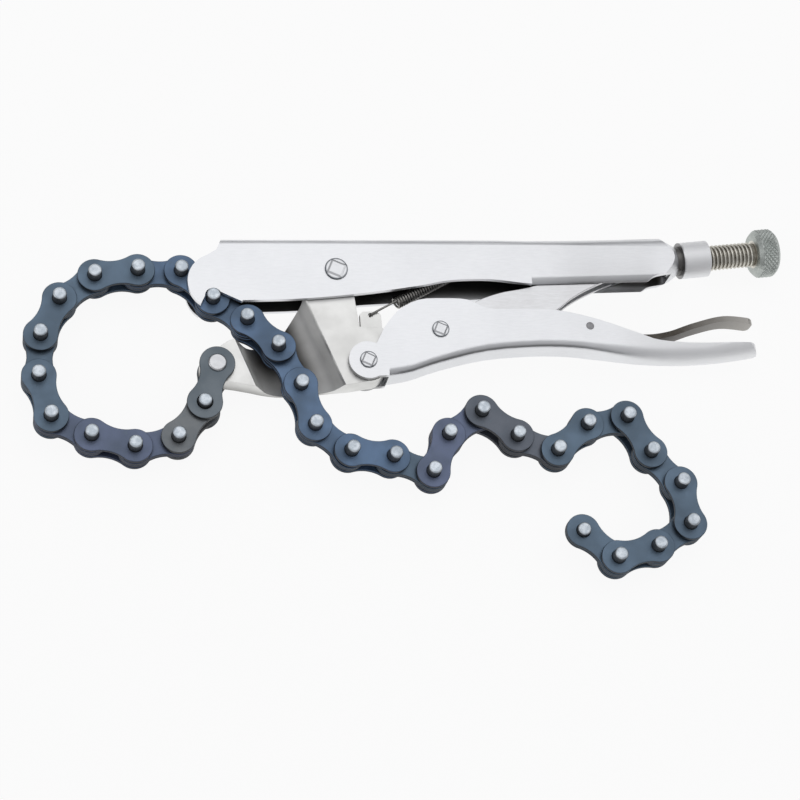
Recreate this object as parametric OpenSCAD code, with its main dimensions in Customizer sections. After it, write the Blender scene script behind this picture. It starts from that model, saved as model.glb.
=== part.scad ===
// Locking chain clamp lying on its side. Two pressed-steel handles lock over centre through a toggle link,
// and a chain riveted to the lower jaw loops round a pipe and hooks by one of its pins into the upper handle.
// Plan shapes are drawn round the jaw rivet: X runs along the upper handle to the screw, Y towards its spine.

/* [Chain] */
// Distance from pin to pin
pitch = 15.875; // [15.5:0.125:16.25]
// Radius of a plate's round ends
eye_r = 6.3; // [5.6:0.1:6.5]
// Width of a plate at its waist
waist_w = 9.3; // [7.5:0.1:10.5]
// Thickness of one chain plate
plate_t = 1.5; // [1.2:0.05:1.7]
// Gap between the two inner plates
plate_gap = 0.2; // [0.1:0.05:0.4]
// Side play between inner and outer plates
side_play = 0.9; // [0.85:0.05:1.1]
// Radius of a chain pin
pin_r = 2.5; // [2:0.1:2.8]
// Chamfer on the ends of a pin
pin_chamfer = 0.5; // [0.2:0.1:0.8]
// Height of a pin above the near cheek it hooks over
pin_proud_near = 1.9; // [1:0.1:3]
// Height of a pin beyond the far cheek
pin_proud_far = 0.4; // [0.2:0.1:0.8]
// Play of a pin in the plates that turn on it
pin_play = 0.3; // [0.25:0.05:0.4]
// Side play of the end connector outside the chain
connector_play = 0.35; // [0.2:0.05:0.6]
// Radius of the end connector's round ends
connector_r = 6.5; // [6:0.1:7]

/* [Handles] */
// Thickness of the pressed sheet
sheet = 1.9; // [1.5:0.1:2.4]
// Room for the chain on each side between the cheeks
chain_room = 0.6; // [0.5:0.05:1]
// Height of the upper handle's spine above the jaw rivet
spine_y = 13; // [12:0.5:15]
// Rounding of the upper handle's spine
spine_round = 3; // [1.5:0.5:4]
// Rounding along the top of the handle's tubular rear
tube_round = 5; // [4:0.5:5.5]
// Rounding along the lips of the handle's tubular rear
lip_round = 3; // [2:0.5:3.5]
// Swell of the tubular rear beyond the cheeks
tube_swell = 0.25; // [0.1:0.05:0.4]
// Rise of the tubular rear, in degrees
tube_rise = 1.6; // [1:0.1:2]
// Radius of the neck that is swaged in before the collar
neck_r = 5.7; // [5.5:0.1:6.3]
// Length of the swaged neck
neck_len = 12; // [9:0.5:14]
// Length of the groove between the neck and the collar
neck_groove = 2; // [1.5:0.5:3]
// How far the collar laps over the neck
collar_lap = 1.5; // [1:0.5:2.5]
// Rounding of the lower handle's belly along its tail
belly_round = 6.2; // [5:0.1:6.3]
// Rounding of the belly ahead of the tail
front_round = 3; // [2.5:0.1:4.5]
// Radius of the hooked nose
nose_r = 11.4; // [11:0.1:12]
// Play of a chain pin in the hook notch
notch_play = 0.6; // [0.55:0.05:1]
// Radius of the lower handle's front end
front_r = 7.3; // [6.5:0.1:7.6]
// Side clearance of what swings inside a handle
swing_clear = 0.3; // [0.15:0.05:0.4]

/* [Rivets] */
// Shank radius of the jaw rivet
jaw_rivet_r = 3; // [2.5:0.1:3.5]
// Head radius of the jaw rivet
jaw_rivet_head = 4.3; // [4:0.1:5]
// Shank radius of the handle and toggle rivets
link_rivet_r = 2.2; // [1.8:0.1:2.6]
// Head radius of the handle and toggle rivets
link_rivet_head = 3.2; // [2.8:0.1:3.8]
// Height of a rivet head
rivet_h = 1; // [0.6:0.1:1.4]
// Radius of the release lever's pin
lever_pin_r = 1.5; // [1.2:0.1:1.8]
// Shank radius of the chain's anchor rivet
anchor_r = 2.6; // [2.2:0.1:3]
// Head radius of the chain's anchor rivet
anchor_head = 3.4; // [3.1:0.1:4]
// Running clearance on a shank
run_clear = 0.06; // [0.03:0.01:0.1]
// Seat clearance on a shank that is held fast
seat_clear = 0.02; // [0.01:0.01:0.03]

/* [Lower jaw] */
// Thickness of the jaw's web under the chain's tail
web_t = 2.6; // [2:0.1:3]
// Clearance under the pins that lie over the web
web_clear = 0.35; // [0.3:0.05:0.8]
// Radius of the scoop's bottom corners
scoop_round = 6; // [4:0.5:6.5]
// Radius of the jaw round its own rivet
jaw_eye_r = 9.5; // [8.5:0.1:10]
// Radius of the jaw round the handle rivet
heel_r = 7.6; // [6.5:0.1:8]
// Radius of the tongue round the anchor rivet
tongue_r = 6.2; // [5.5:0.1:6.4]

/* [Toggle and lever] */
// Radius of the toggle link's eye
toggle_eye_r = 7; // [6:0.1:8]
// Wall of the folded toggle link
toggle_wall = 1.7; // [1.3:0.1:2]
// Radius of the toggle link's nose
toggle_nose_r = 3.7; // [3.4:0.1:4]
// Gap left between the toggle link's end and the screw
toggle_gap = 2.4; // [2.2:0.1:3]
// Thickness of the release lever's strip
lever_t = 2.2; // [1.6:0.1:2.6]
// Radius of the release lever's pivot boss
lever_boss_r = 3.4; // [2.6:0.1:3.6]

/* [Adjusting screw] */
// Lean of the screw from the handle's line, in degrees
screw_lean = 5.5; // [4:0.5:7]
// Outside radius of the thread
thread_r = 4.9; // [4.4:0.1:5.4]
// Clearance of the thread in its collar
thread_clear = 0.2; // [0.1:0.05:0.3]
// Wall of the collar
collar_wall = 1.9; // [1.5:0.1:2.6]
// Length of the collar behind the handle's end
collar_len = 9.5; // [8:0.5:13]
// Length of thread that shows behind the collar
thread_shown = 19.5; // [15:0.5:24]
// Radius of the knurled knob
knob_r = 9.5; // [8.5:0.1:11]
// Length of the knurled knob
knob_len = 8.5; // [7:0.5:12]
// Chamfer on the knob's edges
knob_chamfer = 1.2; // [0.6:0.1:1.6]

/* [Return spring] */
// Outside radius of the coils
coil_r = 2.5; // [2.2:0.1:2.8]
// Radius of the spring wire
wire_r = 0.45; // [0.35:0.05:0.5]
// Number of coils
coils = 18; // [12:1:18]

/* [Hidden] */
$fn = 64;
LINKS = 31;
HOOKED = 13;

function link_name(k) = str("chain_link_", k < 10 ? "0" : "", k);

STEEL = "silver";
CHAIN = "slategray";
DARK = "dimgray";

// Levels across the tool, measured from its middle plane
inner_top = plate_gap / 2 + plate_t;
outer_low = inner_top + side_play;
outer_top = outer_low + plate_t;
connector_low = outer_top + connector_play;
connector_top = connector_low + plate_t;
gap_half = outer_top + chain_room;
cheek_half = gap_half + sheet;
jaw_half = gap_half - swing_clear;
tongue_half = outer_top;
pin_near = cheek_half + pin_proud_near;
pin_far = cheek_half + pin_proud_far;

// Pivots in plan
JAW_PIVOT = [0, 0];
HANDLE_PIVOT = [9.5, -36.5];
TOGGLE_PIVOT = [37.5, -24.5];
LEVER_PIVOT = [95, -23.5];
ANCHOR = [-46, -37];
HOOK_SEAT = [-46.2, -10.7];
NOSE = [-44, -5];
SPRING_LUG = [12.5, -16.5];
SPRING_TAB = [53, 4.6];
// Where the screw's line leaves the upper handle
SCREW_END = [137, 6.5];

function direction(a) = [cos(a), sin(a)];
function total(v, n) = n <= 0 ? 0 * v[0] : v[n - 1] + total(v, n - 1);

// Smooth open curve through a few points
function curve_point(p, q, r, s, t) =
    0.5 * (2 * q + (r - p) * t + (2 * p - 5 * q + 4 * r - s) * t * t + (3 * q - p - 3 * r + s) * t * t * t);
function curve(v, steps = 6) = let (n = len(v) - 1) concat(
    [for (i = [0:n - 1], j = [0:steps - 1])
        curve_point(v[max(i - 1, 0)], v[i], v[i + 1], v[min(i + 2, n)], j / steps)], [v[n]]);
function shifted(v, d) = [for (p = v) p + d];
function reversed(v) = [for (i = [len(v) - 1:-1:0]) v[i]];

// Faces of a form swept through n rings of m points
function swept_faces(n, m) = concat(
    [for (i = [0:n - 2], j = [0:m - 1], half = [0, 1])
        let (a = i * m + j, b = i * m + (j + 1) % m)
        half == 0 ? [a, b, b + m] : [a, b + m, a + m]],
    [reversed([for (j = [0:m - 1]) j])],
    [[for (j = [0:m - 1]) (n - 1) * m + j]]);

// Lay of the chain: headings of the loop from the anchor to the hook, then of the tail beyond it
LOOP = [-108, -127, -167, -195, -207, -254, -272, -295, -323, -351, -360, -404];
TAIL = [-38, -48, -65, -74, -38, -7, -22, 64, 34, -38, -22, 39, 10, -62, -51, -84, -148, -166, -224];
// Slopes of the links that climb over the lower jaw and come down again
SLOPES = [0.5, 7.5, 8.5, 1.5, -4, -6, -6, -2];
FIRST_SLOPE = HOOKED - 1;

function slope(k) =
    k < FIRST_SLOPE || k >= FIRST_SLOPE + len(SLOPES) ? 0 : SLOPES[k - FIRST_SLOPE];
function span(k) = pitch * cos(slope(k));

// The loop's headings turn and spread a little until its last pin lies in the hook
function loop_turn(k, fit) = LOOP[k] + fit[0] + fit[1] * (2 * k / (len(LOOP) - 1) - 1);
function loop_end(fit, n = 0) =
    n == len(LOOP) ? ANCHOR : span(n + 1) * direction(loop_turn(n, fit)) + loop_end(fit, n + 1);
function loop_step(fit, miss, a, b) = let (det = a.x * b.y - a.y * b.x)
    fit - [(miss.x * b.y - miss.y * b.x) / det, (a.x * miss.y - a.y * miss.x) / det];
function loop_fit(fit = [0, 0], rounds = 6) = rounds == 0 ? fit :
    let (at = loop_end(fit), a = loop_end(fit + [1, 0]) - at, b = loop_end(fit + [0, 1]) - at)
    loop_fit(loop_step(fit, at - HOOK_SEAT, a, b), rounds - 1);
LOOP_FIT = loop_fit();
HEADINGS = concat([for (k = [0:len(LOOP) - 1]) loop_turn(k, LOOP_FIT)], TAIL);

// Pin k of the chain, counted from the anchor
STEPS = [for (k = [1:LINKS]) let (d = span(k) * direction(HEADINGS[k - 1])) [d.x, d.y, pitch * sin(slope(k))]];
function pin_at(k) = [ANCHOR.x, ANCHOR.y, 0] + total(STEPS, k - 1);
PINS = [for (k = [1:LINKS + 1]) pin_at(k)];

// Lowest reach of the two pins that lie over the lower jaw
function reach(k, on) = PINS[k - 1].z - pin_far * cos(slope(on)) - pin_r * abs(sin(slope(on)));
scoop_floor = min(reach(15, 14), reach(16, 16)) - web_clear;

// The screw's line, measured from the end of the upper handle
function on_screw(s) = SCREW_END + s * direction(screw_lean);
toggle_end_s = -11;
tip_s = toggle_end_s + toggle_gap;
knob_s = collar_len + thread_shown;
collar_r = thread_r + thread_clear + collar_wall;
TOGGLE_END = on_screw(toggle_end_s);
KNOB_END = on_screw(knob_s + knob_len);

// The origin is under the middle of the whole tool, at the level of its lowest point
left = min([for (p = PINS) p.x]) - eye_r;
right = KNOB_END.x + (knob_r - knob_chamfer) * sin(screw_lean);
bottom = min([for (p = PINS) p.y]) - eye_r;
top = KNOB_END.y + max((knob_r - knob_chamfer) * cos(screw_lean),
                       knob_r * cos(screw_lean) - knob_chamfer * sin(screw_lean));
lowest = -max(knob_r, cheek_half + rivet_h, pin_far);

module placed() {
    translate([-(left + right) / 2, -(bottom + top) / 2, -lowest]) children();
}
module slab(low, high) {
    translate([0, 0, low]) linear_extrude(high - low) children();
}
module hole(at, r) {
    translate([at.x, at.y, -50]) cylinder(h = 100, r = r);
}
module along_screw(s) {
    p = on_screw(s);
    translate([p.x, p.y, 0]) rotate([0, 0, screw_lean]) rotate([0, 90, 0]) children();
}
module disc(at, r) {
    translate(at) circle(r);
}

// Rivet with a low domed head on both ends
module rivet(at, half, shank, head, height = rivet_h) {
    edge = height / 2;
    translate([at.x, at.y, 0]) rotate_extrude()
        polygon([[0, -half - height], [head - edge, -half - height], [head, -half - edge], [head, -half],
                 [shank, -half], [shank, half], [head, half], [head, half + edge],
                 [head - edge, half + height], [0, half + height]]);
}

// Upper handle: a channel open below, its nose cut into a hook, its rear half drawn to a tube and swaged to a neck
// in front of the screw's collar
TUBE_FROM = 74;
tube_high = 19;
SPINE = [[-42, spine_y], [30, spine_y], [72, spine_y], SCREW_END + [-37, 8], SCREW_END + [-13, 9],
         SCREW_END + [0, 9]];
REAR_UNDER = [SCREW_END + [0, -7], SCREW_END + [-13, -8.9], SCREW_END + [-20, -11.9], [94, -6.6], [74, -6]];
NEAR_ARCH = [[58, -4.2], [43, -4.6], [31, -6.8]];
FAR_ARCH = [[58, -7.4], [43, -8.2], [31, -8.8]];
FRONT_UNDER = [[10, -9.8], [-14, -12], [-36, -12.6]];
cavity_end = SCREW_END.x - 7;

module hook_notch() {
    r = pin_r + notch_play;
    disc(HOOK_SEAT, r);
    polygon([HOOK_SEAT + [-r, 0], HOOK_SEAT + [r * cos(30), r * sin(30)], [-35.5, -13.2], [-36, -20],
             [-52, -20], HOOK_SEAT + [-r - 1.6, -3.2]]);
}
module upper_plan(arch) {
    under = concat(REAR_UNDER, arch, FRONT_UNDER);
    difference() {
        union() {
            disc(NOSE, nose_r);
            polygon(concat(curve(SPINE), curve(under), [NOSE, [-51.6, 3.4], [-44.2, 8]]));
        }
        hook_notch();
    }
}
function quarter(at, r, from) = [for (t = [0:15:90]) at + r * direction(from + t)];
// Section of the outer form: top level, bottom level, half width, and rounding above and below
function form_section(top, low, half, r, lip) = concat(
    reversed(quarter([low + lip, lip - half], lip, 180)), reversed(quarter([low + lip, half - lip], lip, 90)),
    reversed(quarter([top - r, half - r], r, 0)), reversed(quarter([top - r, r - half], r, -90)));
function tube_top(x) = spine_y + max(0, x - TUBE_FROM) * tan(tube_rise);
function tube_low(x) = x < TUBE_FROM ? -60 : tube_top(x) - tube_high;
function tube_share(x) = min(1, max(0, (x - TUBE_FROM + 12) / 34));
function tube_section(x) = let (w = tube_share(x)) form_section(
    tube_top(x), tube_low(x), cheek_half + w * tube_swell, spine_round + w * (tube_round - spine_round), lip_round);
module outer_form() {
    stations = concat([-70], [for (d = [-12, -6, -0.1, 0.4, 6, 11, 16.5, 22]) TUBE_FROM + d], [SCREW_END.x + 5]);
    rings = [for (x = stations) tube_section(x)];
    polyhedron([for (i = [0:len(stations) - 1], q = rings[i]) [stations[i], q[0], q[1]]],
               swept_faces(len(stations), len(rings[0])));
}
// What the swaging takes off round the screw's line
module neck_waste() {
    along_screw(0) rotate_extrude()
        polygon([[neck_r + neck_len / 2, -neck_len - 1], [neck_r, -neck_groove - collar_lap], [neck_r, 10], [40, 10],
                 [40, -neck_len - 1]]);
}
module upper_cavity() {
    roof = shifted(curve(SPINE), [0, -sheet]);
    inside = [for (p = roof) if (p.x < cavity_end) p];
    polygon(concat([[-80, spine_y - sheet]], inside, [[cavity_end, inside[len(inside) - 1].y],
                   [cavity_end, -60], [-80, -60]]));
}
module spring_tab() {
    slab(-0.8, 0.8) difference() {
        union() {
            disc(SPRING_TAB, 2);
            translate(SPRING_TAB - [2, 0]) square([6, spine_y - sheet / 2 - SPRING_TAB.y]);
        }
        disc(SPRING_TAB, 2 * wire_r);
    }
}
module upper_handle() {
    color(STEEL) difference() {
        union() {
            difference() {
                intersection() {
                    union() {
                        slab(-2 * cheek_half, 2 * cheek_half) upper_plan(NEAR_ARCH);
                        slab(-2 * cheek_half, -gap_half) upper_plan(FAR_ARCH);
                    }
                    outer_form();
                }
                slab(-gap_half, gap_half) upper_cavity();
                neck_waste();
            }
            along_screw(-8) cylinder(h = 9, r = neck_r);
            along_screw(-collar_lap) cylinder(h = collar_len + collar_lap, r = collar_r);
            spring_tab();
        }
        along_screw(-12) cylinder(h = collar_len + 24, r = thread_r + thread_clear);
        hole(JAW_PIVOT, jaw_rivet_r + seat_clear);
    }
}

// Lower jaw: a thick forging with a tongue for the chain, scooped out where the chain's tail crosses it
scoop_heading = -70;
scoop_left = -10.8;
scoop_right = 15.6;

module jaw_body_plan() {
    difference() {
        union() {
            disc(JAW_PIVOT, jaw_eye_r);
            disc(HANDLE_PIVOT, heel_r);
            polygon([[-9.2, -2], [9.2, -2], [9, -12], [16.8, -24], [17, -34], HANDLE_PIVOT + [0, -heel_r],
                     [3, -45.2], [-14, -46.6], [-22, -40], [-20, -22], [-13.4, -12.4]]);
        }
        // window for the spring's hook
        polygon([[6, -5], [7.4, -22.4], [24, -23.4], [24, -5]]);
    }
}
module jaw_tongue_plan() {
    disc(ANCHOR, tongue_r);
    polygon(concat(curve([[-46, -30.8], [-39.6, -27], [-33, -28.6], [-24, -27], [-15, -18]]),
                   [[-8, -30], [-8, -46]],
                   curve([[-14, -46.8], [-24, -47], [-32, -45.6], [-40, -44], [-46, -43.2]])));
}
module jaw_web_plan() {
    polygon(concat(curve([[-37, -30], [-32, -29], [-24, -27.4], [-16, -21]]),
                   [[-7, -30], [-7, -45.4]],
                   curve([[-16, -46.4], [-24, -46.4], [-32, -45], [-37, -43]])));
}
module scoop_profile() {
    d = jaw_half - scoop_floor;
    side = [[-3.4, d + 0.6], [-2, d - 0.5], [-0.5, 4.3], [1.6, 1.6], [scoop_round, 0], [scoop_round + 3, 0]];
    half_width = (scoop_right - scoop_left) / 2;
    edge = curve([for (p = side) [p.x - half_width, p.y]], 3);
    translate([(scoop_left + scoop_right) / 2, scoop_floor])
        polygon(concat([[-half_width - 3.4, 30]], edge, reversed([for (p = edge) [-p.x, p.y]]),
                       [[half_width + 3.4, 30]]));
}
module scoop() {
    p = PINS[14];
    translate([p.x, p.y, 0]) rotate([0, 0, scoop_heading]) rotate([90, 0, 90])
        linear_extrude(120, center = true) scoop_profile();
}
module spring_lug() {
    slab(-1.2, 1.2) difference() {
        translate(SPRING_LUG) polygon([[-4, -9.5], [-4, 0.3], [-2.8, 1.5], [2.6, 1.5], [4, 0.1], [4, -9.5]]);
        disc(SPRING_LUG, 2 * wire_r);
    }
}
module lower_jaw() {
    color(STEEL) difference() {
        union() {
            slab(-jaw_half, jaw_half) jaw_body_plan();
            slab(-tongue_half, tongue_half) jaw_tongue_plan();
            slab(scoop_floor - web_t, 0) jaw_web_plan();
            spring_lug();
        }
        scoop();
        hole(JAW_PIVOT, jaw_rivet_r + run_clear);
        hole(HANDLE_PIVOT, link_rivet_r + run_clear);
        hole(ANCHOR, anchor_r + run_clear);
    }
}

// Lower handle: a channel open above, deep at the front and drawn out to a slim tail
BELLY = [[17.6, -42.4], [26, -40.9], [37, -37.2], [55, -33], [74, -31.5], [88, -31.8], [100, -33.4], [114, -35.7],
         [128, -36.9], [142, -36.4], [154, -35], [161, -33.8]];
RIDGE = [[161, -30.4], [150, -30.4], [136, -30.6], [122, -29.4], [114, -26.6], [98, -20.6], [82, -16.8],
         [66, -16.4], [56, -16], [49, -12.6], [40, -12], [30, -12.6], [22, -17], [16.4, -23.6]];

TAIL_END = BELLY[len(BELLY) - 1];
TAIL_ROUND = cheek_half + 0.7;

module lower_plan() {
    corner = BELLY[0] - [0.3, 0.3];
    disc(HANDLE_PIVOT, front_r);
    polygon(concat([corner, [corner.x, -60], [TAIL_END.x + 4, -60], RIDGE[0] + [4, 0]], curve(RIDGE, 3),
                   [HANDLE_PIVOT + front_r * direction(62), HANDLE_PIVOT, HANDLE_PIVOT + front_r * direction(-62)]));
}
// The press form of the belly: a round-bottomed section swept along it, which starts where the floor does
function belly_r(x) = front_round + (belly_round - front_round) * min(1, max(0, (x - 96) / 32));
function belly_section(half, r) = concat(
    [[70, -half]], reversed(quarter([r, r - half], r, 180)), reversed(quarter([r, half - r], r, 90)), [[70, half]]);
module belly_form(half, lift, to) {
    front = BELLY[0] - [1.2, 12];
    run = [for (p = curve(BELLY, 3)) if (p.x < to) p];
    last = run[len(run) - 1];
    line = concat([front - [30, 0], front, BELLY[0] - [0.6, 0.2]], run, [[to, last.y + 0.3 * (to - last.x)]]);
    rings = [for (p = line) belly_section(half, max(0.6, belly_r(p.x) - lift))];
    polyhedron([for (i = [0:len(line) - 1], q = rings[i]) [line[i].x, line[i].y + lift + q[0], q[1]]],
               swept_faces(len(line), len(rings[0])));
}
function tip_outline(x, r) = concat([[-80, -20], [x - r, -20]], [for (t = [-90:10:90]) [x - r, 0] + r * direction(t)],
                                    [[x - r, 20], [-80, 20]]);
module round_tip(x, r) {
    rotate([90, 0, 0]) linear_extrude(160, center = true) polygon(tip_outline(x, r));
}
module lower_handle() {
    color(STEEL) difference() {
        intersection() {
            slab(-2 * cheek_half, 2 * cheek_half) lower_plan();
            belly_form(cheek_half, 0, TAIL_END.x + 8);
            round_tip(TAIL_END.x, TAIL_ROUND);
        }
        belly_form(gap_half, sheet, TAIL_END.x - 4);
        hole(HANDLE_PIVOT, link_rivet_r + seat_clear);
        hole(TOGGLE_PIVOT, link_rivet_r + seat_clear);
        hole(LEVER_PIVOT, lever_pin_r + seat_clear);
    }
}

// Toggle link: folded from sheet, open below, its closed end bearing on the screw
toggle_half = gap_half - 1.2 * swing_clear;
function on_toggle(v) = TOGGLE_PIVOT + v.x * (TOGGLE_END - TOGGLE_PIVOT) + [0, v.y];
// Each point is a share of the way from the pivot to the end, and a height over the line between them
TOGGLE_BACK = [for (v = [[0.062, 3.6], [0.164, 7], [0.277, 7.4], [0.412, 5.8], [0.616, 5.3], [0.841, 5.3],
                         [0.954, 4.5]]) on_toggle(v)];
TOGGLE_FRONT = [for (v = [[0.943, -2.3], [0.796, -1.9], [0.683, -2.6], [0.593, -4.3], [0.502, -7.3], [0.322, -8.7],
                          [0.141, -8.7], [0.028, -7.3]]) on_toggle(v)];
HOLLOW_END = on_toggle([0.84, 0]);

module toggle_body() {
    slab(-toggle_half, toggle_half) polygon(concat(curve(TOGGLE_BACK), curve(TOGGLE_FRONT), [TOGGLE_PIVOT]));
    slab(-toggle_half, toggle_half) disc(TOGGLE_PIVOT, toggle_eye_r);
    slab(-toggle_half, toggle_half) disc(TOGGLE_END - toggle_nose_r * direction(19), toggle_nose_r);
}
module toggle_hollow() {
    back = shifted(curve(TOGGLE_BACK), [0.5, -toggle_wall]);
    inside = [for (p = back) if (p.x < HOLLOW_END.x) p];
    low = TOGGLE_PIVOT - [18, 16];
    polygon(concat([[low.x, -19]], inside, [[HOLLOW_END.x, low.y], low]));
}
module toggle_link() {
    color(STEEL) difference() {
        union() toggle_body();
        slab(toggle_wall - toggle_half, toggle_half - toggle_wall) toggle_hollow();
        hole(TOGGLE_PIVOT, link_rivet_r + run_clear);
    }
}

// Release lever: one bent strip with a boss on its pin
LEVER = [[76, -25.4], [85, -24.8], [95, -23.5], [106, -25], [116, -27], [126, -26], [137, -22.4], [149, -19.6],
         [160, -20.6]];

function strip_normal(v, i) = let (d = v[min(i + 1, len(v) - 1)] - v[max(i - 1, 0)]) [-d.y, d.x] / norm(d);
function strip(v, t) = concat([for (i = [0:len(v) - 1]) v[i] + strip_normal(v, i) * t / 2],
                              reversed([for (i = [0:len(v) - 1]) v[i] - strip_normal(v, i) * t / 2]));
LEVER_TIP = LEVER[len(LEVER) - 1];
lever_half = gap_half - 3 * swing_clear;

module release_lever() {
    ends = [[LEVER_PIVOT, lever_boss_r], [LEVER[0], lever_t / 2], [LEVER_TIP, lever_t / 2]];
    color(DARK) difference() {
        intersection() {
            union() {
                slab(-lever_half, lever_half) polygon(strip(curve(LEVER), lever_t));
                for (e = ends) slab(-lever_half, lever_half) disc(e[0], e[1]);
            }
            round_tip(LEVER_TIP.x + lever_t / 2, lever_half + 0.4);
        }
        hole(LEVER_PIVOT, lever_pin_r + run_clear);
    }
}

// Adjusting screw: threaded rod with a knurled knob on its end
module adjusting_screw() {
    rod_end = knob_s + knob_len;
    color(DARK) along_screw(0) rotate_extrude()
        polygon([[0, tip_s], [thread_r - 1.5, tip_s], [thread_r, tip_s + 1.5], [thread_r, knob_s],
                 [knob_r - knob_chamfer, knob_s], [knob_r, knob_s + knob_chamfer],
                 [knob_r, rod_end - knob_chamfer], [knob_r - knob_chamfer, rod_end], [0, rod_end]]);
}

module jaw_rivet() {
    color(STEEL) rivet(JAW_PIVOT, cheek_half, jaw_rivet_r, jaw_rivet_head);
}
module handle_rivet() {
    color(STEEL) rivet(HANDLE_PIVOT, cheek_half, link_rivet_r, link_rivet_head);
}
module toggle_rivet() {
    color(STEEL) rivet(TOGGLE_PIVOT, cheek_half, link_rivet_r, link_rivet_head);
}
module lever_pin() {
    color(STEEL) slab(-cheek_half, cheek_half) disc(LEVER_PIVOT, lever_pin_r);
}

// Return spring: one wire from the jaw's lug through the coils to the tab under the spine
RINGS = 8;
SIDES = 6;
COIL_START = [22.5, -11.2, 0];
COIL_END = [45.5, 0.8, 0];
coil_axis = (COIL_END - COIL_START) / norm(COIL_END - COIL_START);
coil_side = [-coil_axis.y, coil_axis.x, 0];
coil_mid_r = coil_r - wire_r;
function on_coil(t) = COIL_START + (COIL_END - COIL_START) * t
    + coil_mid_r * (cos(360 * coils * t) * [0, 0, 1] + sin(360 * coils * t) * coil_side);
function at_level(p, q) = [p.x, p.y, 0] + q;
WIRE = concat(
    [for (q = [[0, 0, -1.4], [0, 0, 0.8], [0.8, 0.4, 1.9], [4, 2.1, coil_mid_r]]) at_level(SPRING_LUG, q)],
    [for (i = [0:RINGS * coils]) on_coil(i / (RINGS * coils))],
    [for (q = [[-3.4, -1.8, coil_mid_r], [-0.8, -0.4, 1.6], [0, 0, 0.6], [0, 0, -1.2]]) at_level(SPRING_TAB, q)]);

function unit(v) = v / norm(v);
function tangent(v, i) = unit(v[min(i + 1, len(v) - 1)] - v[max(i - 1, 0)]);
function carried(n, t) = unit(n - (n * t) * t);
function normals(v, i = 0, n = [1, 0.2, 0.1]) = i == len(v) ? [] :
    let (m = carried(n, tangent(v, i))) concat([m], normals(v, i + 1, m));
function tube_points(v, r) = let (ns = normals(v)) [for (i = [0:len(v) - 1], j = [0:SIDES - 1])
    let (a = 360 * j / SIDES) v[i] + r * (cos(a) * ns[i] + sin(a) * cross(tangent(v, i), ns[i]))];
self_gap = min([for (i = [0:len(WIRE) - 1], j = [i + RINGS / 2:len(WIRE) - 1]) norm(WIRE[i] - WIRE[j])]);
echo(spring_self_gap = self_gap - 2 * wire_r);

module return_spring() {
    color(DARK) polyhedron(tube_points(WIRE, wire_r), [for (f = swept_faces(len(WIRE), SIDES)) reversed(f)]);
}

// Chain plate between two pins, with round ends and arcs drawn in to the waist
module plate_plan(r) {
    half = pitch / 2;
    slim = waist_w / 2;
    arc = (half * half + slim * slim - r * r) / (2 * (r - slim));
    touch = r / (r + arc) * [half, slim + arc];
    circle(r);
    disc([pitch, 0], r);
    difference() {
        translate([touch.x, -touch.y]) square([pitch - 2 * touch.x, 2 * touch.y]);
        for (side = [-1, 1]) disc([half, side * (slim + arc)], arc);
    }
}
module plates(low, r, hole_a, hole_b) {
    for (z = [low, -low - plate_t]) slab(z, z + plate_t) difference() {
        plate_plan(r);
        circle(hole_a);
        disc([pitch, 0], hole_b);
    }
}
module chain_pin(x, near, far) {
    translate([x, 0, 0]) rotate_extrude()
        polygon([[0, -far], [pin_r - pin_chamfer, -far], [pin_r, -far + pin_chamfer],
                 [pin_r, near - pin_chamfer], [pin_r - pin_chamfer, near], [0, near]]);
}
module on_link(k) {
    translate(PINS[k - 1]) rotate([0, -slope(k), HEADINGS[k - 1]]) children();
}

// Outer links carry the pins; inner links turn on them, and the last inner link ends in a short pin of its own
module chain_link(k) {
    held = pin_r + seat_clear;
    free = pin_r + pin_play;
    short_end = outer_top;
    color(CHAIN) on_link(k) {
        if (k % 2 == 0) {
            plates(outer_low, eye_r, held, held);
            chain_pin(0, pin_near, pin_far);
            chain_pin(pitch, pin_near, pin_far);
        } else {
            plates(plate_gap / 2, eye_r, free, k == LINKS ? held : free);
            if (k == LINKS) chain_pin(pitch, short_end, short_end);
        }
    }
}
module end_connector() {
    color(CHAIN) on_link(1) plates(connector_low, connector_r, anchor_r + run_clear, pin_r + pin_play);
}
module anchor_rivet() {
    color(STEEL) rivet(ANCHOR, connector_top, anchor_r, anchor_head);
}

placed() upper_handle();
placed() lower_jaw();
placed() lower_handle();
placed() toggle_link();
placed() release_lever();
placed() adjusting_screw();
placed() jaw_rivet();
placed() handle_rivet();
placed() toggle_rivet();
placed() lever_pin();
placed() return_spring();
placed() anchor_rivet();
placed() end_connector();
for (k = [2:LINKS]) placed() chain_link(k);
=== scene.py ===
# A locking chain clamp lying on its side: two plated handles locked over centre by a toggle, and a blued
# chain that loops round a pipe, hooks by a pin into the upper handle's nose and leaves its tail in waves.
import math

import bpy
from mathutils import Matrix, Vector


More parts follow.
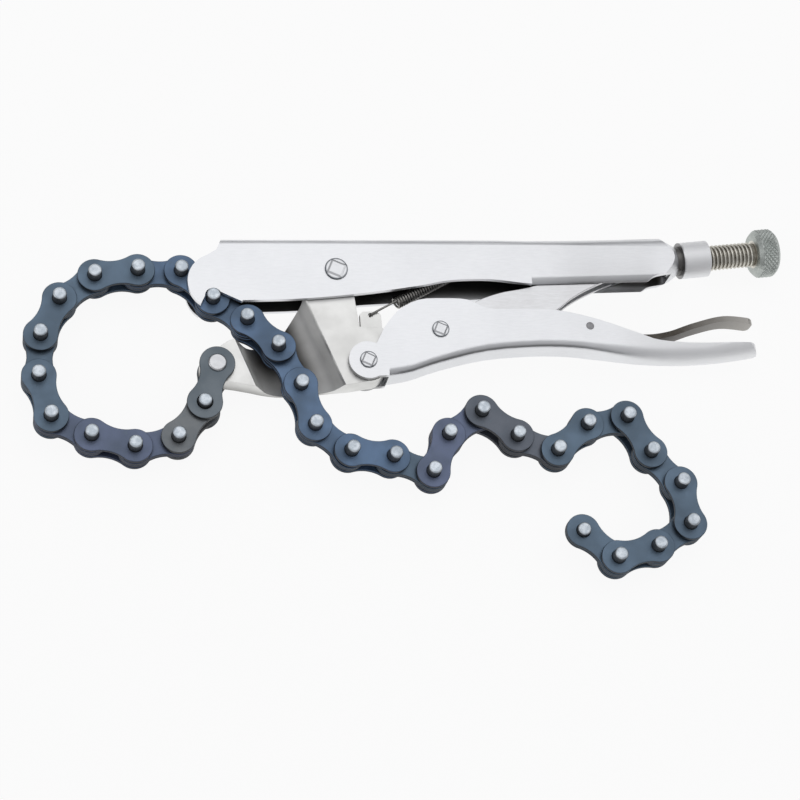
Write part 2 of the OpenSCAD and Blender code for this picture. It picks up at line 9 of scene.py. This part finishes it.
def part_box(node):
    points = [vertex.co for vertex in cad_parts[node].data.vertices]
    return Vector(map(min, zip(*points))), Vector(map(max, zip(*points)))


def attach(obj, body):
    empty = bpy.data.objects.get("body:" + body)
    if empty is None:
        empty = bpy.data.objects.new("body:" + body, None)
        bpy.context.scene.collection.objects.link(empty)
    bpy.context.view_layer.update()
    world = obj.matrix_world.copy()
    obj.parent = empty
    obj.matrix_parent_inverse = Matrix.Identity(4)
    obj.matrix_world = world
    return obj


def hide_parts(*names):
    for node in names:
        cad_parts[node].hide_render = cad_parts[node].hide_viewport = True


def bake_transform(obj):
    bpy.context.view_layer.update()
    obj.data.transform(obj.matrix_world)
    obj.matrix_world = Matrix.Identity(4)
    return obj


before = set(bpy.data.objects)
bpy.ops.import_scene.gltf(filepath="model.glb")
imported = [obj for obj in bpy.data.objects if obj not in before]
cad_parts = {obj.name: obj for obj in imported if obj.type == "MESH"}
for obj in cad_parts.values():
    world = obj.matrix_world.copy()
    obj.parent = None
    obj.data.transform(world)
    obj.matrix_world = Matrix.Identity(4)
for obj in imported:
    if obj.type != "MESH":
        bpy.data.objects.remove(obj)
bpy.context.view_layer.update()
bpy.ops.object.select_all(action="DESELECT")
# The tool's own measurements start from the middle of its jaw rivet.
pivot = sum(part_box("jaw_rivet"), Vector()) / 2


# Studio: a pale floor that the tool lies on, a broad soft lamp overhead, smaller ones from the upper right
# and low on the left, and a long lens that looks down on the near cheeks from a little below and to the left.
class Reading:
    """One value on a surface. Arithmetic on it adds Math nodes, and node() adds any other kind."""

    def __init__(self, tree, socket=None):
        self.tree = tree
        self.socket = socket

    def node(self, kind, sockets, take=0, stops=None, **settings):
        made = self.tree.nodes.new(kind)
        for key, value in settings.items():
            setattr(made, key, value)
        if stops:
            ramp = made.color_ramp.elements
            while len(ramp) < len(stops):
                ramp.new(0.5)
            for element, (at, shade) in zip(ramp, stops):
                element.position = at
                element.color = (*shade, 1)
        for key, value in sockets.items():
            if isinstance(value, Reading):
                self.tree.links.new(value.socket, made.inputs[key])
            else:
                made.inputs[key].default_value = value
        return Reading(self.tree, made.outputs[take])

    def math(self, operation, a, b=0.0):
        return self.node("ShaderNodeMath", {0: a, 1: b}, operation=operation)

    def __add__(self, other):
        return self.math("ADD", self, other)

    def __radd__(self, other):
        return self.math("ADD", other, self)

    def __sub__(self, other):
        return self.math("SUBTRACT", self, other)

    def __rsub__(self, other):
        return self.math("SUBTRACT", other, self)

    def __mul__(self, other):
        return self.math("MULTIPLY", self, other)

    def __rmul__(self, other):
        return self.math("MULTIPLY", other, self)

    def over(self, low, high):
        return self.node("ShaderNodeMapRange", {"Value": self, "From Min": low, "From Max": high},
                         interpolation_type="SMOOTHSTEP")

    def noise(self, scale, detail=3.0, rough=0.55):
        return self.node("ShaderNodeTexNoise",
                         {"Vector": self, "Scale": scale, "Detail": detail, "Roughness": rough})

    def mix(self, a, b):
        return self.node("ShaderNodeMix", {0: self, 6: a, 7: b}, take=2, data_type="RGBA")

    def axis(self, letter):
        return self.node("ShaderNodeSeparateXYZ", {0: self}, take="XYZ".index(letter))


scene = bpy.context.scene
scene.view_settings.view_transform = "Standard"

floor_gap, floor_glow = 0.0002, 0.92
bpy.ops.mesh.primitive_plane_add(size=5, location=(0, 0, -floor_gap))
floor = bpy.context.object
floor.name = "floor"
pale = bpy.data.materials.new("pale_floor")
pale.use_nodes = True
tree = pale.node_tree
tree.nodes.clear()
path = tree.nodes.new("ShaderNodeLightPath")
seen = Reading(tree, path.outputs["Is Camera Ray"]) + Reading(tree, path.outputs["Is Glossy Ray"])
seen = seen + Reading(tree, path.outputs["Is Transmission Ray"])
card = seen.node("ShaderNodeBsdfDiffuse", {"Color": (0.82, 0.82, 0.82, 1)})
glow = seen.node("ShaderNodeEmission", {"Color": (1, 1, 1, 1), "Strength": 1.0})
both = seen.node("ShaderNodeMixShader", {0: seen * floor_glow, 1: card, 2: glow})
out = tree.nodes.new("ShaderNodeOutputMaterial")
tree.links.new(both.socket, out.inputs["Surface"])
floor.data.materials.append(pale)

sky = bpy.data.worlds.new("studio")
scene.world = sky
sky.use_nodes = True
tree = sky.node_tree
heading = Reading(tree, tree.nodes.new("ShaderNodeTexCoord").outputs["Generated"])
up = heading.axis("Z")
horizon_to_zenith = [(0.0, (0.02, 0.02, 0.021)), (0.05, (0.10, 0.10, 0.105)),
                     (0.14, (0.42, 0.42, 0.43)), (1.0, (0.58, 0.58, 0.59))]
dim_right = (0.18, 0.18, 0.185, 1)
tone = up.node("ShaderNodeValToRGB", {0: up}, stops=horizon_to_zenith)
tone = (heading.axis("X").over(0.14, 0.50) * 0.6).mix(tone, dim_right)
tree.links.new(tone.socket, tree.nodes["Background"].inputs["Color"])

lamps = (("overhead", (0.06, 0.40, 1.05), 1.0, 2.1),
         ("right", (0.95, 0.35, 0.75), 0.6, 1.2),
         ("left", (-0.95, -0.05, 0.30), 0.4, 0.7))
for name, at, across, watts in lamps:
    bpy.ops.object.light_add(type="AREA", location=at)
    lamp = bpy.context.object
    lamp.name = name
    lamp.data.size = across
    lamp.data.energy = watts
    lamp.rotation_euler = (-Vector(at)).to_track_quat("-Z", "Y").to_euler()

right = (0.9819, -0.0798, 0.1719)
upward = (0.0110, 0.9295, 0.3686)
back = (-0.1892, -0.3601, 0.9135)
stand = pivot + Vector((-0.1319, -0.3414, 0.7392))
bpy.ops.object.camera_add()
camera = bpy.context.object
camera.data.lens = 99
camera.data.sensor_width = 36
camera.matrix_world = Matrix([(right[i], upward[i], back[i], stand[i]) for i in range(3)] + [(0, 0, 0, 1)])
scene.camera = camera


# Upper and lower handles: channels pressed from sheet steel, their edges broken by tumbling, nickel plated to
# a satin white with faint drawn streaks and a little orange peel over the bends.
# The dark tone is painted shade, and on the lower handle's belly a painted dark reflection; the pale tone
# lightens the collar and the lower handle's tail.
painted_dark_colour, lighter_tone = (0.085, 0.080, 0.074, 1), (0.96, 0.965, 0.975, 1)


def new_finish(name, metal=1.0):
    made = bpy.data.materials.new(name)
    made.use_nodes = True
    shader = made.node_tree.nodes["Principled BSDF"]
    shader.inputs["Metallic"].default_value = metal
    place = Reading(made.node_tree, made.node_tree.nodes.new("ShaderNodeTexCoord").outputs["Object"])
    return made, shader, place


def set_finish(shader, place, colour, roughness, height, depth):
    place.tree.links.new(colour.socket, shader.inputs["Base Color"])
    place.tree.links.new(roughness.socket, shader.inputs["Roughness"])
    bump = place.node("ShaderNodeBump", {"Strength": 1.0, "Distance": depth, "Height": height})
    place.tree.links.new(bump.socket, shader.inputs["Normal"])


def plated_steel(name, light, dark, shine, streak=(40, 260, 260), painted_darkening=None, rougher_and_lighter=None):
    made, shader, place = new_finish(name)
    clouds = place.noise(45)
    drawn = place.node("ShaderNodeMapping", {"Vector": place, "Scale": streak}).noise(6, 4.0, 0.7)
    peel = place.noise(650, 2.0)
    tone = clouds.over(0.3, 0.72) * 0.6 + drawn.over(0.3, 0.7) * 0.4
    colour = tone.mix((*dark, 1), (*light, 1))
    if painted_darkening:
        # Painted shade, and a painted dark reflection, mixed in where the given mask asks for it.
        colour = (painted_darkening(place) * 0.9).mix(colour, painted_dark_colour)
    roughness = shine + clouds * 0.12 + drawn * 0.08
    if rougher_and_lighter:
        lighter_mask = rougher_and_lighter(place)
        roughness = roughness + lighter_mask * 0.26
        colour = (lighter_mask * 0.8).mix(colour, lighter_tone)
    set_finish(shader, place, colour, roughness, peel + drawn * 0.6, 0.00002)
    return made


def dress(node, finish, edge):
    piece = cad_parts[node]
    piece.data.materials.clear()
    piece.data.materials.append(finish)
    weld = piece.modifiers.new("weld", "WELD")
    weld.merge_threshold = 2e-6
    flats = piece.modifiers.new("flats", "DECIMATE")
    flats.decimate_type = "DISSOLVE"
    flats.angle_limit = math.radians(0.4)
    broken = piece.modifiers.new("broken_edge", "BEVEL")
    broken.width = edge
    broken.segments = 2
    broken.limit_method = "ANGLE"
    broken.angle_limit = math.radians(32)
    broken.harden_normals = True
    closed = piece.modifiers.new("closed_corners", "WELD")
    closed.merge_threshold = 1e-7
    piece.modifiers.new("normals", "WEIGHTED_NORMAL")


def along_screw(place):
    """How far a place lies beyond the end of the upper handle, along the screw."""
    reach = place.node("ShaderNodeVectorMath", {0: place, 1: screw_line}, take=1, operation="DOT_PRODUCT")
    return reach - screw_end.dot(screw_line)


def painted_upper_shade(place):
    """Painted shade on the upper handle: inside the channel, lighter on the lower lips of its walls, in the
    groove before the collar and, faintly, on the rear, deeper towards its lower side."""
    along, up, level = (place.axis(letter) - mid for letter, mid in zip("XYZ", pivot))
    level = level.math("ABSOLUTE", level)
    inside = (1 - level.over(0.0046, 0.0050)) * (1 - up.over(0.0112, 0.0118)) * (1 - along.over(0.127, 0.131))
    middle_lip = along.over(0.012, 0.024) * (1 - up.over(-0.0090, -0.0035))
    rear_lip = along.over(0.092, 0.100) * (1 - up.over(-0.0030, -0.0016))
    inside = inside * (1 - middle_lip * 0.7) * (1 - rear_lip * 0.85)
    behind = along_screw(place)
    groove = behind.over(-0.0042, -0.0033) * (1 - behind.over(-0.0017, -0.0010))
    # Painted shade on the rear, deeper towards its lower side.
    rear_shade = along.over(0.072, 0.100) * (1 - along.over(0.118, 0.128))
    rear_shade = rear_shade * (0.16 - up.over(-0.003, 0.008) * 0.09)
    return inside + groove + (1 - inside) * rear_shade


def lower_shade_and_reflection(place):
    """Painted shade on the sideways faces at the lower handle's front end, by the jaw, and a painted dark
    reflection along the belly's bend.
    """
    facing = place.node("ShaderNodeNewGeometry", {}, take=1).axis("Z")
    # Painted shade on faces that turn sideways; the bend below gets a painted dark reflection.
    edge = 1 - facing.math("ABSOLUTE", facing).over(0.3, 0.8)
    along = place.axis("X") - pivot.x
    bend = facing.over(0.40, 0.56) * (1 - facing.over(0.60, 0.82)) * along.over(0.019, 0.022)
    return edge * (1 - along.over(0.0150, 0.0170)) * 0.7 + bend * (1 - along.over(0.085, 0.108)) * 0.55


def lighter_tail(place):
    """The slim tail, made lighter and rougher towards its end."""
    return (place.axis("X") + place.noise(90) * 0.010).over(pivot.x + 0.104, pivot.x + 0.132)


def lighter_collar(place):
    """The collar round the screw, made lighter and rougher."""
    return along_screw(place).over(-0.0012, -0.0004)


screw_end, screw_lean = pivot + Vector((0.137, 0.0065, 0)), math.radians(5.5)
screw_line = Vector((math.cos(screw_lean), math.sin(screw_lean), 0))
satin = ((0.87, 0.88, 0.90), (0.76, 0.77, 0.79), 0.28)
upper_plate = plated_steel("upper_plate", *satin, painted_darkening=painted_upper_shade, rougher_and_lighter=lighter_collar)
lower_plate = plated_steel("lower_plate", *satin, painted_darkening=lower_shade_and_reflection, rougher_and_lighter=lighter_tail)
dress("upper_handle", upper_plate, 0.0004)
dress("lower_handle", lower_plate, 0.0004)

# Lower jaw: a drop forging with the coarser skin of the die, ivory, with painted shade in dark brown deep in
# the scoop under the chain's tail, where it is also duller and less metallic, and on the window's side walls.
scoop_line, scoop_from = Vector((0.940, 0.342, 0)), -0.0329
forged_plate, shader, place = new_finish("forged_plate")
cast = place.noise(70)
pits = place.noise(480, 4.0, 0.7)
across = place.node("ShaderNodeVectorMath", {0: place, 1: scoop_line}, take=1, operation="DOT_PRODUCT")
across = across - (pivot.dot(scoop_line) + scoop_from)
along, up = place.axis("X") - pivot.x, place.axis("Y") - pivot.y
depth = place.axis("Z") - pivot.z
# Painted shade: darker deep in the scoop, fading towards its rim and towards the jaw's bottom.
shade = 1 - (depth + cast * 0.0014).over(-0.0050, 0.0048)
shade = shade * (1 - across.over(0.0070, 0.0165)) * (0.4 + up.over(-0.047, -0.033) * 0.6)
facing = place.node("ShaderNodeNewGeometry", {}, take=1).axis("Z")
scooped = facing.over(0.05, 0.25) * (1 - depth.over(0.0030, 0.0042))
scooped = scooped * across.over(-0.0150, -0.0135) * (1 - across.over(0.0175, 0.0190))
place.tree.links.new((1 - scooped * 0.75).socket, shader.inputs["Metallic"])
skin = cast.over(0.3, 0.72).mix((0.70, 0.70, 0.685, 1), (0.85, 0.85, 0.835, 1))
# Painted shade on the side walls by the window.
window_shade = along.over(0.0060, 0.0072) * up.over(-0.027, -0.025) * (1 - facing.over(0.3, 0.7)) * 0.75
colour = (shade * 1.25 + window_shade).mix(skin, (0.034, 0.029, 0.024, 1))
set_finish(shader, place, colour, 0.36 + shade * 0.2 + pits * 0.1, pits, 0.00004)
dress("lower_jaw", forged_plate, 0.0010)

# Toggle link: folded from thinner sheet, plated, duller inside the handle than the cheeks outside.
link_plate = plated_steel("link_plate", (0.86, 0.87, 0.89), (0.68, 0.68, 0.69), 0.30)
dress("toggle_link", link_plate, 0.0003)

# Release lever: one bent strip, plated thinly over a hardened skin, with painted shade in dark brown that
# fades out towards its lighter tip.
lever_plate, shader, place = new_finish("lever_plate")
# Painted shade, dark near the handle, fading out towards the tip.
lighter_mask = (place.axis("X") + place.noise(60) * 0.012).over(pivot.x + 0.134, pivot.x + 0.172)
scale = place.noise(300, 4.0, 0.65)
colour = (lighter_mask * 0.8 + scale * 0.2).mix((0.034, 0.027, 0.020, 1), (0.46, 0.445, 0.42, 1))
set_finish(shader, place, colour, 0.34 + scale * 0.14, scale, 0.00003)
dress("release_lever", lever_plate, 0.0006)

# Rivets and the lever's pin: cold-headed steel. The three that carry the mechanism are peened to four flats
# over the plated cheeks, with a dark ring of painted shade, broken up by grime, round their rims.
all_ways = (120, 120, 120)
rivet_steel = plated_steel("rivet_steel", (0.74, 0.75, 0.77), (0.52, 0.53, 0.55), 0.22, all_ways)
pin_steel = plated_steel("pin_steel", (0.42, 0.42, 0.43), (0.22, 0.22, 0.23), 0.3, all_ways)
dress("anchor_rivet", rivet_steel, 0.0002)
dress("lever_pin", pin_steel, 0.0002)


def pick(piece, wanted, kind="FACE"):
    """Leave just the wanted faces or edges of the active piece selected, in edit mode."""
    bpy.ops.object.mode_set(mode="EDIT")
    bpy.ops.mesh.select_mode(type=kind)
    bpy.ops.mesh.select_all(action="DESELECT")
    bpy.ops.object.mode_set(mode="OBJECT")
    for element in piece.data.polygons if kind == "FACE" else piece.data.edges:
        element.select = wanted(element)
    bpy.ops.object.mode_set(mode="EDIT")


cheek, rim_h, flats_h, flats_in, flats_taper = 0.0065, 0.0005, 0.00045, 0.69, 0.735
same_level = 1e-5
peenings = (("jaw_rivet", "upper_handle", 0.0030, 0.0043, 20),
            ("handle_rivet", "lower_handle", 0.0022, 0.0032, 18),
            ("toggle_rivet", "lower_handle", 0.0022, 0.0032, 21))
for node, body, shank_r, head_r, turn in peenings:
    at = sum(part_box(node), Vector()) / 2
    bpy.ops.mesh.primitive_cylinder_add(vertices=48, radius=shank_r, depth=2 * cheek, location=at)
    peened = bpy.context.object
    peened.name = "peened_" + node
    bpy.ops.object.transform_apply()
    for out in (1, -1):
        pick(peened, lambda face: face.normal.z * out > 0.9 and (face.center.z - at.z) * out > 0)
        bpy.ops.mesh.extrude_region_move()
        bpy.ops.transform.resize(value=(head_r / shank_r, head_r / shank_r, 1), center_override=at)
        bpy.ops.mesh.extrude_region_move(TRANSFORM_OT_translate={"value": (0, 0, out * rim_h)})
        top = at.z + out * (cheek + rim_h)
        for quarter in range(4):
            heading = math.radians(turn + 45 + 90 * quarter)
            across = Vector((math.cos(heading), math.sin(heading), 0))
            pick(peened, lambda face: face.normal.z * out > 0.9 and abs(face.center.z - top) < same_level)
            bpy.ops.mesh.bisect(plane_co=at + across * head_r * flats_in, plane_no=across)
        pick(peened, lambda face: (abs(face.center.z - top) < same_level
                                   and (face.center - at).xy.length < 0.1 * head_r))
        bpy.ops.mesh.extrude_region_move(TRANSFORM_OT_translate={"value": (0, 0, out * flats_h)})
        bpy.ops.transform.resize(value=(flats_taper, flats_taper, 1), center_override=at)
    bpy.ops.object.mode_set(mode="OBJECT")
    worn = peened.modifiers.new("worn", "BEVEL")
    worn.width = 0.0002
    worn.segments = 2
    bpy.ops.object.modifier_apply(modifier="worn")
    made, shader, place = new_finish("peened_" + node)
    rim = place.node("ShaderNodeVectorMath", {0: place, 1: (1, 1, 0)}, operation="MULTIPLY")
    rim = rim.node("ShaderNodeVectorMath", {0: rim, 1: (at.x, at.y, 0)}, take=1, operation="DISTANCE")
    smut = place.noise(500, 3.0)
    # A dark ring round the rim: painted shade, broken up by grime.
    rim_shade_and_grime = rim.over(head_r * 0.80, head_r * 0.98) * (0.5 + smut)
    colour = rim_shade_and_grime.mix((0.72, 0.73, 0.75, 1), (0.10, 0.11, 0.125, 1))
    set_finish(shader, place, colour, 0.24 + smut * 0.16, smut, 0.00002)
    peened.data.materials.append(made)
    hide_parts(node)
    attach(peened, body)


# Adjusting screw: a rolled thread that runs in the handle's collar and a knob with a diamond knurl pressed
# into its rim, turned from one bar and plated a greenish grey that has worn bright on the crests.
thread_r, thread_depth, thread_pitch = 0.0049, 0.0008, 0.0015875
screw_tip, tip_chamfer, knob_from, knob_to, rod_in_knob = -0.0086, 0.0010, 0.0290, 0.0375, 0.001
knob_r, knob_chamfer, knurl_depth, knurl_cells, knurl_rows = 0.0095, 0.0012, 0.0005, 32, 4

rod_end = knob_from + rod_in_knob
bpy.ops.mesh.primitive_cylinder_add(vertices=48, radius=thread_r - thread_depth, depth=rod_end - screw_tip,
                                    location=(0, 0, (rod_end + screw_tip) / 2))
rod = bpy.context.object
bpy.ops.object.transform_apply()
points = rod.data.vertices
pick(rod, lambda edge: all(points[v].co.z < screw_tip + same_level for v in edge.vertices), "EDGE")
bpy.ops.mesh.bevel(offset=tip_chamfer, segments=2)
bpy.ops.object.mode_set(mode="OBJECT")

bpy.ops.mesh.primitive_circle_add(vertices=4, radius=thread_depth, rotation=(math.radians(90), 0, 0))
ridge = bpy.context.object
ridge.scale = (1.0, 0.82 * thread_pitch / 2 / thread_depth, 1.0)
ridge.location = (thread_r - thread_depth, 0, screw_tip + 0.0016)
bpy.ops.object.transform_apply()
turns = ridge.modifiers.new("turns", "SCREW")
turns.axis = "Z"
turns.screw_offset = thread_pitch
turns.iterations = int((knob_from - screw_tip - 0.0020) / thread_pitch)
turns.steps = turns.render_steps = 36
bpy.ops.object.modifier_apply(modifier="turns")
bpy.ops.object.mode_set(mode="EDIT")
bpy.ops.mesh.select_all(action="SELECT")
bpy.ops.mesh.fill_holes(sides=0)
bpy.ops.mesh.normals_make_consistent(inside=False)
bpy.ops.object.mode_set(mode="OBJECT")

knurl_r = knob_r - knurl_depth
bpy.ops.mesh.primitive_circle_add(vertices=knurl_cells, radius=knurl_r - knob_chamfer, fill_type="NGON",
                                  location=(0, 0, knob_from))
knob = bpy.context.object
bpy.ops.object.transform_apply()
band = knob_to - knob_from - 2 * knob_chamfer
bpy.ops.object.mode_set(mode="EDIT")
bpy.ops.mesh.select_all(action="SELECT")
grow = knurl_r / (knurl_r - knob_chamfer)
rows = [(band / knurl_rows, 1.0)] * knurl_rows
for rise, scale in [(knob_chamfer, grow)] + rows + [(knob_chamfer, 1 / grow)]:
    bpy.ops.mesh.extrude_region_move(TRANSFORM_OT_translate={"value": (0, 0, rise)})
    bpy.ops.transform.resize(value=(scale, scale, 1), center_override=(0, 0, 0))
bpy.ops.mesh.inset(thickness=0.0022, depth=-0.0006)
bpy.ops.mesh.select_all(action="SELECT")
bpy.ops.mesh.normals_make_consistent(inside=False)
bpy.ops.object.mode_set(mode="OBJECT")


def on_band(face):
    return abs(face.normal.z) < 0.1 and len(face.vertices) == 4


def squares_old_side(edge):
    """An edge of the band's first squares, apart from its two rims."""
    ends = [knob.data.vertices[v].co.z for v in edge.vertices]
    first = all(v < corners for v in edge.vertices)
    within = all(rims[0] - same_level < z < rims[1] + same_level for z in ends)
    return first and within and not any(all(abs(z - rim) < same_level for z in ends) for rim in rims)


# Each square is cut into four, and the old sides go, which leaves diamonds to be raised to points.
corners, rims = len(knob.data.vertices), (knob_from + knob_chamfer, knob_to - knob_chamfer)
pick(knob, on_band)
bpy.ops.mesh.poke(offset=0.0)
bpy.ops.object.mode_set(mode="OBJECT")
pick(knob, squares_old_side, "EDGE")
bpy.ops.mesh.dissolve_edges(use_verts=False)
pick(knob, on_band)
bpy.ops.mesh.poke(offset=knurl_depth)
bpy.ops.object.mode_set(mode="OBJECT")

bpy.ops.object.select_all(action="DESELECT")
for piece in (rod, ridge, knob):
    piece.select_set(True)
bpy.context.view_layer.objects.active = knob
bpy.ops.object.join()
knob.name = "turned_screw"
knob.rotation_euler = (0, math.radians(90), screw_lean)
knob.location = screw_end
bpy.ops.object.transform_apply()

made, shader, place = new_finish("screw_plate")
offset = place.node("ShaderNodeVectorMath", {0: place, 1: screw_end}, operation="SUBTRACT")
offset = place.node("ShaderNodeVectorMath", {0: offset, 1: screw_line}, operation="CROSS_PRODUCT")
out_from_axis = place.node("ShaderNodeVectorMath", {0: offset}, take=1, operation="LENGTH")
crest = out_from_axis.over(thread_r - 0.0007, thread_r - 0.0001) * (1 - out_from_axis.over(0.0052, 0.0056))
crest = crest + out_from_axis.over(knob_r - 0.0003, knob_r)
on_knob = out_from_axis.over(0.0052, 0.0056)
grime = place.noise(260, 4.0, 0.65)
low = on_knob.mix((0.29, 0.27, 0.23, 1), (0.43, 0.46, 0.44, 1))
high = on_knob.mix((0.84, 0.82, 0.75, 1), (0.90, 0.94, 0.91, 1))
colour = (crest * 0.75 + grime.over(0.35, 0.75) * 0.35).mix(low, high)
set_finish(shader, place, colour, 0.36 + grime * 0.2, grime, 0.00003)
knob.data.materials.append(made)
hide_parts("adjusting_screw")
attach(knob, "adjusting_screw")

# Return spring: hard-drawn wire wound close, with a hooked loop at each end, one through the jaw's lug and
# the other through the tab under the handle's spine.
wire_r, coil_r, spring_coils, ring = 0.00042, 0.00208, 24, 20
lug, tab = pivot + Vector((0.0125, -0.0165, 0)), pivot + Vector((0.0530, 0.0046, 0))
coil_from, coil_to = pivot + Vector((0.0225, -0.0112, 0)), pivot + Vector((0.0455, 0.0008, 0))
run = (coil_to - coil_from).normalized()
level = Vector((0, 0, 1))
side = level.cross(run)
lug_hook = ((-0.0014, 0), (0.0006, 0), (0.0017, 0.0006), (0.0021, 0.0040))
tab_hook = ((0.0021, 0.0036), (0.0015, 0.0007), (0.0005, 0), (-0.0012, 0))
line = [lug + rise * level + out * run for rise, out in lug_hook]
for i in range(spring_coils * ring + 1):
    turn = 2 * math.pi * i / ring
    line.append(coil_from + (coil_to - coil_from) * i / (spring_coils * ring)
                + coil_r * (math.cos(turn) * level + math.sin(turn) * side))
line += [tab + rise * level - out * run for rise, out in tab_hook]
wound = bpy.data.curves.new("wound_spring", "CURVE")
wound.dimensions = "3D"
wound.bevel_depth = wire_r
wound.bevel_resolution = 3
wound.use_fill_caps = True
path = wound.splines.new("POLY")
path.points.add(len(line) - 1)
for point, at in zip(path.points, line):
    point.co = (*at, 1)
spring = bpy.data.objects.new("wound_spring", wound)
scene.collection.objects.link(spring)
bpy.ops.object.select_all(action="DESELECT")
spring.select_set(True)
bpy.context.view_layer.objects.active = spring
bpy.ops.object.convert(target="MESH")
spring = bpy.context.object
bpy.ops.object.shade_smooth()
spring_wire = plated_steel("spring_wire", (0.42, 0.41, 0.39), (0.20, 0.195, 0.185), 0.28, (90, 90, 90))
spring.data.materials.append(spring_wire)
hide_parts("return_spring")
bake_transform(spring)


# Chain: plates blanked from blued strip, riveted on bright pins that stand proud on the near side, with
# painted shade on the side faces of plates and pins. The temper colour wanders from blue to violet and brown
# along the chain.
def chain_steel(name, middle, axle, level, plate_top, tint):
    made, shader, place = new_finish(name, 0.85)
    height = place.node("ShaderNodeVectorMath", {0: place, 1: axle}, take=1, operation="DOT_PRODUCT") - level
    height = height.math("ABSOLUTE", height)
    pin = height.over(plate_top + 0.00004, plate_top + 0.00012)
    facing = place.node("ShaderNodeNewGeometry", {}, take=1).axis("Z")
    # Painted shade: faces that turn sideways, the sides of plates and pins, are darkened below.
    edge = 1 - facing.math("ABSOLUTE", facing).over(0.35, 0.8)
    centre = place.node("ShaderNodeVectorMath", {0: place, 1: middle}, take=1, operation="DISTANCE")
    eye = centre.over(0.0040, 0.0105)
    temper = place.noise(70, 2.0)
    fleck = place.noise(420, 4.0, 0.7)
    plate = temper.over(0.3, 0.7).mix((*tint[0], 1), (*tint[1], 1))
    plate = (eye * 0.45 + fleck.over(0.52, 0.75) * 0.2).mix(plate, (0.148, 0.190, 0.232, 1))
    bright = fleck.over(0.35, 0.7).mix((0.50, 0.56, 0.62, 1), (0.82, 0.88, 0.94, 1))
    colour = (edge * 0.85).mix(pin.mix(plate, bright), (0.030, 0.029, 0.030, 1))
    set_finish(shader, place, colour, 0.34 + fleck * 0.18 + edge * 0.12, fleck, 0.00003)
    return made


slate = ((0.064, 0.102, 0.152), (0.138, 0.210, 0.305))
blue = ((0.058, 0.105, 0.195), (0.140, 0.240, 0.430))
violet = ((0.072, 0.082, 0.148), (0.148, 0.168, 0.300))
plum = ((0.085, 0.080, 0.095), (0.150, 0.145, 0.165))
brown = ((0.150, 0.145, 0.135), (0.240, 0.230, 0.215))
grey = ((0.110, 0.122, 0.128), (0.180, 0.195, 0.205))
tempers = {1: grey, 2: brown, 20: violet, 21: violet, 22: plum, 23: plum}
tempers.update({number: violet for number in range(3, 6)})
tempers.update({number: blue for number in range(11, 19)})
# How far a pin's near end and the plates' outer faces lie from the middle of the chain.
pin_reach, outer_top, connector_top, inner_top = 0.0084, 0.0040, 0.00585, 0.0016

for name in sorted(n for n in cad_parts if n.startswith("chain_link") or n == "end_connector"):
    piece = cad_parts[name]
    low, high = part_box(name)
    axle = max((p for p in piece.data.polygons if p.normal.z > 0.9), key=lambda p: p.area).normal.copy()
    reach = [v.co.dot(axle) for v in piece.data.vertices]
    number = 1 if name == "end_connector" else int(name[-2:])
    outer = number % 2 == 0
    level = max(reach) - pin_reach if outer else (max(reach) + min(reach)) / 2
    top = outer_top if outer else connector_top if number == 1 else inner_top
    middle = (low + high) / 2
    middle.z = 0.0
    finish = chain_steel("chain_steel_%02d" % number, middle, axle, level, top, tempers.get(number, slate))
    dress(name, finish, 0.0003)
